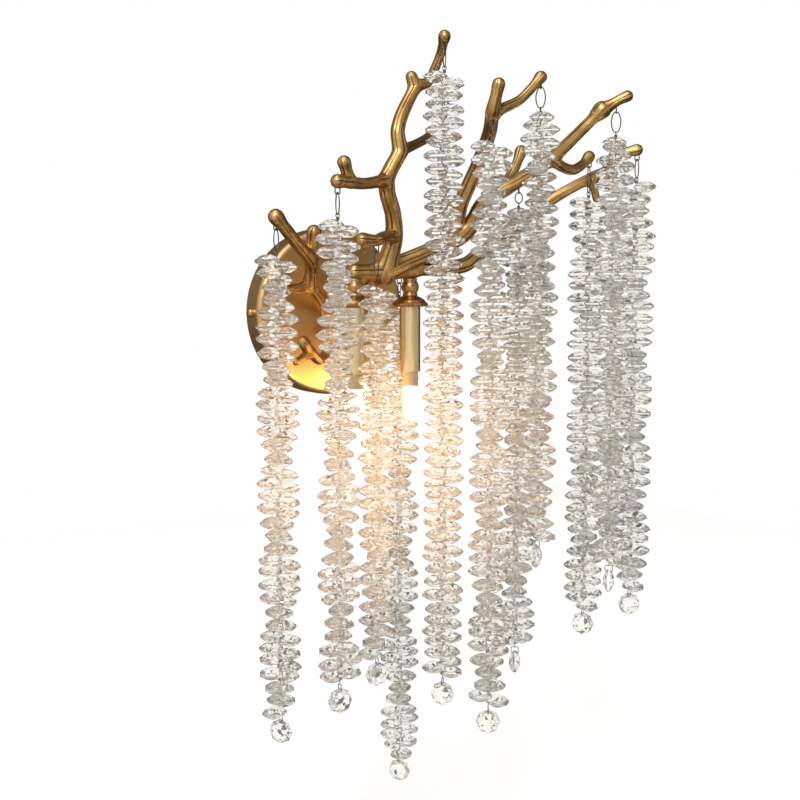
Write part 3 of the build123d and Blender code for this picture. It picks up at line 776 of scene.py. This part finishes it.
@dataclass(frozen=True)
class Branch:
    """A branch casting that stands for one CAD node."""

    node: str
    limbs: tuple[Limb, ...]

    def shell(self, meets: "Meetings") -> tuple[Array, Array, Faces]:
        """Join the limbs' surfaces.

        Args:
            meets: Where the limbs of all castings meet.
        Returns:
            Points as (x, out, z) rows, groove depths and faces.
        """
        places, depths, faces, start = [], [], [], 0
        for limb in self.limbs:
            limb_places, depth, limb_faces = limb.surface(limb.stations(), meets.others(limb))
            places.append(limb_places)
            depths.append(depth)
            faces += shifted(limb_faces, start)
            start += len(limb_places)
        return np.concatenate(places), np.concatenate(depths), faces

    def build(self, finishes: FinishSet, meets: "Meetings") -> None:
        """Make the casting and dress it.

        Args:
            finishes: The materials of the light.
            meets: Where the limbs of all castings meet.
        """
        places, depths, faces = self.shell(meets)
        piece = add_piece(f"{self.node}_bark", metres(places), faces, smooth=True)
        add_values(piece, GROOVE, depths)
        finish_piece(piece, self.node, "light", finishes.cast_gold)


@dataclass(frozen=True)
class Meetings:
    """Where limbs meet: a limb's root lies inside another limb."""

    limbs: tuple[Limb, ...]
    reach: float = 30.0
    margin: float = 2.0
    buried: float = 0.85

    def others(self, limb: Limb) -> list[Array]:
        """Stations of the limbs that one limb meets, near the meeting places.

        A limb that leaves this one counts from this one's surface outward.

        Args:
            limb: The limb.
        Returns:
            One array of stations for each meeting.
        """
        line, found = limb.stations(), []
        for other in self.limbs:
            if other is limb:
                continue
            stations = other.stations()
            if self.inside(line[0], stations):
                apart = np.linalg.norm(stations[:, :3] - line[0, :3], axis=1)
                found.append(stations[apart < self.reach])
            elif self.inside(stations[0], line):
                apart = np.linalg.norm(stations[:, :3] - stations[0, :3], axis=1)
                surface = self.buried * self.radius_at(stations[0], line)
                found.append(stations[(apart < self.reach) & (apart > surface)])
        return [stations for stations in found if len(stations)]

    def inside(self, root: Array, line: Array) -> bool:
        """Whether a root lies within a limb."""
        return bool(np.any(np.linalg.norm(line[:, :3] - root[:3], axis=1) < line[:, 3] + self.margin))

    def radius_at(self, root: Array, line: Array) -> float:
        """Radius of a limb next to a root."""
        return float(line[np.argmin(np.linalg.norm(line[:, :3] - root[:3], axis=1)), 3])


HUB = (8.5, 95.0, 36.0)
BOSS_FACE = (0.0, 29.0, 0.0)
ARM_ENDS = {Side.LEFT: -19.5, Side.RIGHT: 36.5}
POINTED = 1.0

BRANCHES = (
    Branch("left_branch", (
        Limb(((*BOSS_FACE, 6.4), (-24, 46, 9, 5.6), (-44, 62, 25, 5.6), (-54, 80, 44, 5.8),
              (-81, 98, 64, 5.2), (-102, 110, 80, 5.8)), 0.3),
        Limb(((-54, 80, 44, 5.0), (-55, 84, 57, 4.8), (-55, 88, 69, 5.6)), 1.1),
        Limb(((-44, 62, 25, 5.0), (-60, 68, 22, 4.2), (-74, 72, 22, 3.0)), 2.4, POINTED),
    )),
    Branch("lower_twig", (
        Limb(((*BOSS_FACE, 6.0), (-18, 50, -28, 4.6), (-34, 60, -40, 4.6), (-46, 66, -33, 4.4),
              (-57, 72, -24, 5.2)), 0.9),
        Limb(((-46, 66, -33, 3.8), (-64, 72, -40, 3.2)), 1.7, POINTED),
    )),
    Branch("main_branch", (
        Limb(((9, 94, 33, 9.4), (13, 105, 63, 7.8), (8, 112, 84, 7.0), (-1, 118, 100, 6.9),
              (-4, 121, 112, 6.8), (0, 122, 122, 6.5), (8, 122, 136, 6.4), (7, 121, 153, 6.0),
              (14, 118, 169, 5.6), (28, 116, 190, 5.0), (41, 117, 197, 4.3), (43, 131, 217, 3.8),
              (36, 147, 229, 4.6)), 0.0),
        Limb(((28, 116, 190, 4.4), (24, 116, 199, 4.4)), 0.5),
        Limb(((8, 122, 136, 4.8), (38, 106, 146, 4.0), (58, 96, 154, 4.6)), 1.3),
        Limb(((-4, 121, 112, 5.4), (-36, 140, 107, 4.6), (-60, 156, 106, 4.8), (-77, 165, 106, 5.0)), 2.1),
        Limb(((-60, 156, 106, 4.4), (-68, 160, 121, 4.9)), 2.9),
        Limb(((13, 107, 66, 5.4), (-10, 126, 65, 4.7), (-27, 141.5, 61.5, 5.0), (-40, 141, 62, 5.2)), 3.7),
    )),
    Branch("middle_branch", (
        Limb(((60, 107, 57, 6.8), (73, 111, 76, 6.8), (75, 118, 97, 6.6), (79, 135, 126, 6.2),
              (72, 161, 151, 5.9), (54, 189, 164, 5.6), (55, 196, 186, 4.7)), 0.7),
        Limb(((54, 189, 164, 4.8), (80, 189, 175, 4.0), (92, 190, 185, 4.0), (103, 190, 196, 4.6)), 1.9),
    )),
    Branch("upper_right_branch", (
        Limb(((*HUB, 8.6), (79, 112, 67, 7.2), (94, 124, 95, 6.9), (118, 143, 115, 6.2), (136, 165, 133, 5.6),
              (151, 186, 156, 5.0), (163, 198, 173, 5.6)), 0.2, 1.2),
        Limb(((159, 194.5, 168, 4.4), (173, 205, 179.5, 4.5), (181, 210, 184, 4.2)), 3.3),
        Limb(((106, 133, 105, 5.2), (125, 128, 127, 4.5), (135, 124, 142, 5.0)), 1.5),
        Limb(((136, 165, 133, 5.2), (150, 162, 127, 4.6), (166, 158, 125, 4.5), (181, 154, 131, 4.4),
              (190, 152, 138, 4.7)), 2.6),
    )),
    Branch("right_branch", (
        Limb(((36.5, 95, 38.4, 6.2), (84, 104, 41, 6.6), (106, 107, 54, 6.2), (174, 120, 101, 5.1),
              (200, 142, 120, 4.7), (207, 155, 126, 4.6), (215, 167, 140, 4.6), (226, 175, 144, 4.6)), 0.6),
        Limb(((201, 143, 120, 4.2), (210, 140, 102, 3.4)), 2.2, POINTED),
    )),
)


# Turned pieces


@dataclass(frozen=True)
class Turned:
    """A ring-shaped turned piece: a closed profile of (radius, height, knurl share) carried round an axis."""

    profile: tuple[tuple[float, float, float], ...]
    axis: Axis = Axis.UP
    knurls: int = 0
    knurl_depth: float = 0.45
    knurl_tone: float = 0.8
    columns: int = 72
    corner_cuts: int = 2

    def rounded(self) -> Array:
        """Cut the profile's corners: each side gives points at a quarter and three quarters of its length.

        Returns:
            Profile as (radius, height, knurl share) rows.
        """
        rows = np.array(self.profile, float)
        for _ in range(self.corner_cuts):
            following = np.roll(rows, -1, axis=0)
            quarters = [0.75 * rows + 0.25 * following, 0.25 * rows + 0.75 * following]
            rows = np.stack(quarters, axis=1).reshape(-1, 3)
        return rows

    def shell(self, x: float, out: float) -> tuple[Array, Array, Faces]:
        """Carry the profile round the axis; a knurl lowers the radius by a cosine between its crests.

        Args:
            x: Place of the axis.
            out: Place of the axis, for an upright one.
        Returns:
            Points as (x, out, z) rows, groove depths and faces.
        """
        rows = self.rounded()
        ring = np.linspace(0.0, 2 * math.pi, self.columns, endpoint=False)[None, :]
        valley = 0.5 - 0.5 * np.cos(self.knurls * ring)
        depth = rows[:, 2:] * valley
        radius = rows[:, :1] - self.knurl_depth * depth
        height = np.broadcast_to(rows[:, 1:2], radius.shape)
        across, up = radius * np.cos(ring), radius * np.sin(ring)
        if self.axis is Axis.UP:
            places = np.stack([x + across, out + up, height], axis=-1)
        else:
            places = np.stack([x + across, height, up], axis=-1)
        faces = grid_faces(len(rows), self.columns, wrap=True).tolist()
        return places.reshape(-1, 3), (self.knurl_tone * depth).ravel(), faces


HUB_BOSS = Turned(((4.5, 11.5, 0), (6, 11.5, 0), (6, 24, 0), (13.2, 24, 0), (14, 24.8, 0), (14, 27, 0),
                   (12.4, 29.2, 0), (4.5, 29.2, 0)), Axis.OUT)
LAMP_NECK = Turned(((5.1, 30.2, 0), (6.2, 30.2, 0), (6.4, 29, 0), (5.6, 28.2, 0), (6.9, 26.4, 0),
                    (7.9, 23.2, 0), (7.2, 20, 0), (5.7, 17.8, 0), (6.6, 16.8, 0), (6.6, 15.1, 0),
                    (5.1, 15.1, 0)))
LAMP_CUP = Turned(((5.1, 15, 0), (7, 15, 0), (8.2, 14.2, 0), (11, 12.9, 0), (13.2, 11.2, 0), (13.9, 9.6, 0),
                   (14.9, 9.3, 0.6), (15.7, 8.5, 1), (15.7, 7, 1), (14.9, 6, 0.6), (13.9, 6, 0),
                   (13.2, 7.2, 0), (12.4, 9.8, 0), (10.6, 10.2, 0), (5.1, 10.2, 0)), knurls=44, columns=264)


@dataclass(frozen=True)
class Hub:
    """The branch hub: boss on the wall pan, stem, lamp arms and the twig towards the wall."""

    node: str = "branch_hub"
    limbs: tuple[Limb, ...] = (
        Limb(((-19.5, 95, 36, 6.9), (-8, 95, 36.4, 6.2), (8.5, 95, 36, 8.4), (24, 95, 36.4, 6.3),
              (36.5, 95, 36.6, 6.9)), 0.4, 1.06),
        Limb(((8.5, 94, 35.4, 9.6), (6, 80, 27, 8.6), (2, 48, 8, 8.4), (0, 27.5, -0.5, 9.4)), 1.2, POINTED),
        Limb(((8.5, 95, 36, 6.4), (30, 76, 40, 5.2), (50, 57, 36, 5.8)), 2.0),
    )

    def build(self, finishes: FinishSet, meets: Meetings) -> None:
        """Make the hub and dress it.

        Args:
            finishes: The materials of the light.
            meets: Where the limbs of all castings meet.
        """
        places, depths, faces = Branch(self.node, self.limbs).shell(meets)
        boss_places, boss_depths, boss_faces = HUB_BOSS.shell(0.0, 0.0)
        faces += shifted(boss_faces, len(places))
        places = np.concatenate([places, boss_places])
        piece = add_piece(f"{self.node}_bark", metres(places), faces, smooth=True)
        add_values(piece, GROOVE, np.concatenate([depths, boss_depths]))
        finish_piece(piece, self.node, "light", finishes.cast_gold)


@dataclass(frozen=True)
class Lamp:
    """One lamp: turned neck and cup, and the CAD's sleeve, socket and bulb."""

    side: Side

    def build(self, finishes: FinishSet) -> None:
        """Make the turned pieces and dress the lamp.

        Args:
            finishes: The materials of the light.
        """
        name = self.side.value
        for shape, part in ((LAMP_NECK, "lamp_neck"), (LAMP_CUP, "lamp_cup")):
            places, depths, faces = shape.shell(ARM_ENDS[self.side], HUB[1])
            piece = add_piece(f"{name}_{part}_turned", metres(places), faces, smooth=True)
            add_values(piece, GROOVE, depths)
            finish_piece(piece, f"{name}_{part}", "light", finishes.turned_gold)
        dress(f"{name}_lamp_sleeve", finishes.sleeve_gold)
        dress(f"{name}_lamp_socket", finishes.socket_ceramic)
        dress(f"{name}_bulb_base", finishes.bulb_ceramic)
        dress(f"{name}_bulb_glass", finishes.lit_glass)


@dataclass(frozen=True)
class WallPan:
    """The wall plate and what it covers, as the CAD makes them."""

    plate: str = "wall_plate"
    zinc: tuple[str, ...] = ("mounting_bracket", "lamp_nipples", "lock_nuts")

    def build(self, finishes: FinishSet) -> None:
        """Dress the pieces.

        Args:
            finishes: The materials of the light.
        """
        dress(self.plate, finishes.satin_gold)
        for node in self.zinc:
            dress(node, finishes.zinc_steel)
        dress("side_screws", finishes.brass_screws)
        dress("terminal_block", finishes.terminal_plastic)
        dress("lamp_leads", finishes.lead_insulation)


# Bead strands


@dataclass(frozen=True)
class BeadCut:
    """Cut of an octagonal bead with its hole near one corner.

    The CAD girdle and table set the spacing of the beads; edge is the height of the polished rim.
    """

    diameter: float = 20.4
    thickness: float = 9.4
    girdle: float = 1.0
    edge: float = 2.0
    cad_table: float = 7.0
    table: float = 7.4
    middle: float = 14.4
    middle_raise: float = 0.3
    hole_edge: float = 2.6
    hole: float = 1.5
    sides: int = 8
    gap: float = 1.05

    def slope(self) -> float:
        """Rise of the crown for each millimetre towards the middle, from the CAD table."""
        return (self.thickness - self.girdle) / (self.diameter - self.cad_table)

    def at_wire(self) -> float:
        """Thickness of the bead at its hole."""
        return self.girdle + 2 * self.slope() * self.hole_edge

    def pitch(self) -> float:
        """Distance between beads along the wire."""
        return self.at_wire() + self.gap

    def template(self) -> tuple[Array, Faces]:
        """Corners and facets of one bead, its hole on the local z axis.

        The girdle is two octagons. On each side a middle octagon, turned by half a side and raised a little,
        stands between the girdle and the table, so the crown is two rings of sixteen triangles.

        Returns:
            Corners as rows, and facets.
        """
        n = self.sides
        corner = 2 * math.pi * np.arange(n) / n
        offset = self.diameter / 2 - self.hole_edge
        crown = ((self.table, 0.0, self.thickness / 2), (self.middle, math.pi / n, self.middle_height()),
                 (self.diameter, 0.0, self.edge / 2))
        upper = np.concatenate([
            np.stack([offset + width / 2 * np.cos(corner + turn), width / 2 * np.sin(corner + turn),
                      np.full(n, height)], axis=1)
            for width, turn, height in crown
        ])
        corners = np.concatenate([upper, upper * np.array([1.0, 1.0, -1.0])])
        facets = [list(range(n)), list(range(3 * n, 4 * n))]
        for i in range(n):
            j = (i + 1) % n
            for base in (0, 3 * n):
                table, middle, girdle = base, base + n, base + 2 * n
                facets += [[table + i, table + j, middle + i], [middle + i, middle + j, table + j],
                           [girdle + i, girdle + j, middle + i], [middle + i, middle + j, girdle + j]]
            facets.append([2 * n + i, 2 * n + j, 5 * n + j, 5 * n + i])
        return corners, facets

    def middle_height(self) -> float:
        """Height of the middle octagon: on the line from rim to table, raised so that its edges stand."""
        rise = (self.thickness - self.edge) / (self.diameter - self.table)
        return self.edge / 2 + rise * (self.diameter - self.middle) / 2 + self.middle_raise


@dataclass(frozen=True)
class Strand:
    """One strand: its wire eye's bar, link height, beads and heading, as the CAD places them."""

    number: int
    bar: Place
    link_height: float
    beads: int
    heading: float
    cut: BeadCut = BeadCut()
    wire: float = 0.7
    link_wire: float = 1.0
    play: float = 0.1
    eye_radius: float = 1.5
    crimp_length: float = 2.4
    crimp: float = 2.6
    end_gap: float = 0.5
    stirrup_width: float = 6.4
    stirrup_height: float = 5.4
    droop: float = 1.2
    half_turn: float = 180.0
    spread: float = 25.0
    spread_pace: float = 0.5
    tilt: float = 3.0
    tilt_pace: float = 1.9
    roll: float = 2.4
    roll_pace: float = 2.7
    rest: float = 0.05

    def bead_reach(self, width: float) -> float:
        """Half height of a bead over a round of one width about its hole, with the end gap."""
        return self.cut.at_wire() / 2 + self.cut.slope() * width / 2 + self.end_gap

    def first_bead(self) -> float:
        """Height of the first bead's middle."""
        link_foot = self.bar[2] + self.link_wire + self.play - self.link_height
        eye = link_foot + self.link_wire / 2 + self.play + self.wire / 2 - self.eye_radius
        return eye - self.eye_radius - self.crimp_length - self.bead_reach(self.crimp)

    def turns(self) -> tuple[Array, Array, Array]:
        """Heading, tilt and roll of every bead: each turns half round plus an uneven step from the last.

        Returns:
            Headings, tilts and rolls in radians.
        """
        index = np.arange(self.beads)
        steps = self.half_turn + self.spread * np.sin(self.number + self.spread_pace * index)
        heading = self.heading + self.number + np.concatenate([[0.0], np.cumsum(steps)[:-1]])
        tilt = self.droop + self.tilt * np.sin(self.number + self.tilt_pace * index)
        roll = self.roll * np.sin(2.0 * self.number + self.roll_pace * index)
        return np.radians(heading), np.radians(tilt), np.radians(roll)

    def places(self) -> tuple[Array, Array]:
        """Turning matrix and hole position of every bead and of the upright last one, in the row frame.

        Returns:
            Matrices and positions in millimetres.
        """
        heading, tilt, roll = self.turns()
        beads = spin(2, heading) @ spin(1, tilt) @ spin(0, roll)
        height = self.first_bead() - np.arange(self.beads) * self.cut.pitch()
        x, y = self.bar[0], -self.bar[1]
        holes = np.stack([np.full(self.beads, x), np.full(self.beads, y), height], axis=1)
        swing = math.radians(self.heading)
        across = np.array([math.cos(swing), -math.sin(swing), 0.0])
        down = np.array([0.0, 0.0, -1.0])
        hang = (height[-1] - self.bead_reach(self.stirrup_width + self.wire) - self.wire / 2
                - self.stirrup_height - (self.cut.hole - self.wire) / 2 + self.rest)
        upright = np.stack([down, np.cross(across, down), across], axis=1)
        return np.concatenate([beads, upright[None]]), np.concatenate([holes, [[x, y, hang]]])

    def build(self, finishes: FinishSet) -> None:
        """Place every bead of the strand in one piece, and dress it with its link and wire.

        Args:
            finishes: The materials of the light.
        """
        corners, facets = self.cut.template()
        turn, holes = self.places()
        points = np.einsum("bij,cj->bci", turn, corners) + holes[:, None, :]
        faces = [facet for bead in range(len(holes)) for facet in shifted(facets, bead * len(corners))]
        name = f"strand_{self.number}"
        piece = add_piece(f"{name}_cut_beads", points.reshape(-1, 3) * MM, faces, smooth=False)
        finish_piece(piece, f"{name}_beads", name, finishes.bead_glass)
        dress(f"{name}_link", finishes.steel_wire)
        dress(f"{name}_wire", finishes.steel_wire)


SHORT_LINK, OVAL_LINK, LONG_LINK = 9.4, 17.0, 24.0
STRANDS = (
    Strand(1, (-102.0, 110.0, 69.42), OVAL_LINK, 71, 145.0),
    Strand(2, (-77.0, 165.0, 96.3), OVAL_LINK, 69, 100.0),
    Strand(3, (-27.0, 141.5, 51.8), LONG_LINK, 58, 100.0),
    Strand(4, (50.0, 57.0, 25.42), SHORT_LINK, 80, 145.0),
    Strand(5, (36.0, 147.0, 219.74), OVAL_LINK, 96, 140.0),
    Strand(6, (54.0, 189.0, 153.64), SHORT_LINK, 88, 125.0),
    Strand(7, (118.0, 143.0, 103.54), SHORT_LINK, 73, 45.0),
    Strand(8, (103.0, 190.0, 186.74), OVAL_LINK, 67, 232.0),
    Strand(9, (190.0, 152.0, 128.63), LONG_LINK, 70, 147.0),
    Strand(10, (173.0, 205.0, 169.64), OVAL_LINK, 69, 45.0),
    Strand(11, (226.0, 175.0, 134.74), OVAL_LINK, 69, 290.0),
)


# Studio


@dataclass(frozen=True)
class Ramp:
    """Two colours of the surroundings, with the values between which one passes into the other."""

    start: float
    first: Colour
    end: float
    last: Colour

    def add(self, nodes: Nodes, value: Socket) -> Socket:
        """Add the ramp to a tree.

        Args:
            nodes: Helper of the tree.
            value: The value that it reads.
        Returns:
            Its colour.
        """
        ramp = nodes.add("ShaderNodeValToRGB")
        stops = ((self.start, self.first), (self.end, self.last))
        for element, (position, colour) in zip(ramp.color_ramp.elements, stops):
            element.position = position
            element.color = (*colour, 1.0)
        nodes.join(value, ramp.inputs["Fac"])
        return ramp.outputs["Color"]


@dataclass(frozen=True)
class SoftLight:
    """One square light that faces the middle of the strands, in metres and watts."""

    name: str
    place: Place
    size: float
    power: float
    aim: Place = (0.06, -0.12, -0.05)

    def hang(self) -> None:
        """Hang the light and turn it towards its aim."""
        lamp = bpy.data.lights.new(self.name, "AREA")
        lamp.size = self.size
        lamp.energy = self.power
        light = bpy.data.objects.new(self.name, lamp)
        light.location = self.place
        light.rotation_euler = (Vector(self.aim) - light.location).to_track_quat("-Z", "Y").to_euler()
        bpy.context.scene.collection.objects.link(light)


@dataclass(frozen=True)
class Studio:
    """White surroundings, soft lights and the camera at the photograph's angle."""

    azimuth: float = -33.0
    pitch: float = -5.8
    focal_pixels: float = 1290.0
    image_pixels: float = 800.0
    origin_pixel: tuple[float, float] = (320.0, 311.0)
    origin_depth: float = 1.187
    sensor: float = 36.0
    floor_z: float = -0.5
    floor_size: float = 3.0
    bright_side: Place = (-0.78, -0.5, 0.38)
    in_metal: Ramp = Ramp(0.4, (0.085, 0.078, 0.07), 1.0, (0.9, 0.9, 0.89))
    in_glass: Ramp = Ramp(0.39, (0.012, 0.011, 0.01), 0.43, (1.2, 1.2, 1.18))
    glass_patches: float = 11.0
    lights: tuple[SoftLight, ...] = (
        SoftLight("key", (-1.3, -1.5, 1.4), 0.9, 19.0),
        SoftLight("fill", (1.6, -1.2, 0.5), 1.2, 1.5),
        SoftLight("top", (-0.5, -0.4, 1.9), 1.0, 5.0),
    )

    def place_camera(self) -> None:
        """Stand the camera so that the wall plate's middle falls on its pixel of the photograph."""
        turn, nod = math.radians(self.azimuth), math.radians(self.pitch)
        right = Vector((math.cos(turn), math.sin(turn), 0.0))
        forward = Vector((-math.sin(turn) * math.cos(nod), math.cos(turn) * math.cos(nod), math.sin(nod)))
        up = right.cross(forward)
        middle = self.image_pixels / 2
        aside = (self.origin_pixel[0] - middle) / self.focal_pixels * self.origin_depth
        above = (middle - self.origin_pixel[1]) / self.focal_pixels * self.origin_depth
        eye = -(forward * self.origin_depth + right * aside + up * above)
        lens = bpy.data.cameras.new("photo_camera")
        lens.sensor_width = self.sensor
        lens.lens = self.focal_pixels / self.image_pixels * self.sensor
        camera = bpy.data.objects.new("photo_camera", lens)
        camera.matrix_world = Matrix((
            (right.x, up.x, -forward.x, eye.x),
            (right.y, up.y, -forward.y, eye.y),
            (right.z, up.z, -forward.z, eye.z),
            (0.0, 0.0, 0.0, 1.0),
        ))
        bpy.context.scene.collection.objects.link(camera)
        bpy.context.scene.camera = camera

    def lay_floor(self) -> None:
        """Lay the pale floor under the light."""
        half, z = self.floor_size / 2, self.floor_z
        corners = np.array([[-half, -half, z], [half, -half, z], [half, half, z], [-half, half, z]])
        floor = add_piece("floor", corners, [[0, 1, 2, 3]], smooth=False)
        floor.data.materials.append(PALE_FLOOR.make())
        floor.visible_glossy = False
        floor.visible_transmission = False

    def light_room(self) -> None:
        """White surroundings with three large soft lights.

        The camera and matt surfaces see plain white. Glass sees bright surroundings with darker patches, and
        metal a grey that grows brighter towards the left.
        """
        world = bpy.data.worlds.new("studio")
        bpy.context.scene.world = world
        world.use_nodes = True
        nodes = Nodes(world.node_tree)
        nodes.tree.nodes.clear()
        place = nodes.add("ShaderNodeTexCoord")
        toward = nodes.add("ShaderNodeVectorMath", operation="DOT_PRODUCT")
        toward.inputs[1].default_value = self.bright_side
        nodes.join(place.outputs["Generated"], toward.inputs[0])
        room = self.in_metal.add(nodes, nodes.spread(toward.outputs["Value"], From_Min=-1.0, From_Max=1.0))
        glass = self.in_glass.add(nodes, nodes.noise(self.glass_patches, 2.0, "Generated"))
        seen = nodes.add("ShaderNodeLightPath")
        through = nodes.blend(seen.outputs["Is Transmission Ray"], room, glass)
        plain = nodes.add("ShaderNodeMath", operation="MAXIMUM")
        nodes.join(seen.outputs["Is Camera Ray"], plain.inputs[0])
        nodes.join(seen.outputs["Is Diffuse Ray"], plain.inputs[1])
        background = nodes.add("ShaderNodeBackground")
        nodes.join(nodes.blend(plain.outputs["Value"], through, WHITE), background.inputs["Color"])
        output = nodes.add("ShaderNodeOutputWorld")
        nodes.join(background.outputs["Background"], output.inputs["Surface"])
        for light in self.lights:
            light.hang()


def main() -> None:
    """Build the studio and every sub-assembly in order."""
    logging.basicConfig(level=logging.INFO, format="%(name)s: %(message)s")
    bpy.context.scene.view_settings.view_transform = "Standard"
    studio = Studio()
    studio.place_camera()
    studio.lay_floor()
    studio.light_room()
    finishes = FinishSet.make()
    WallPan().build(finishes)
    hub = Hub()
    meets = Meetings(hub.limbs + tuple(limb for branch in BRANCHES for limb in branch.limbs))
    hub.build(finishes, meets)
    for branch in BRANCHES:
        branch.build(finishes, meets)
    for side in Side:
        Lamp(side).build(finishes)
    dress("wire_eyes", finishes.steel_wire)
    for strand in STRANDS:
        strand.build(finishes)


if __name__ == "__main__":
    main()
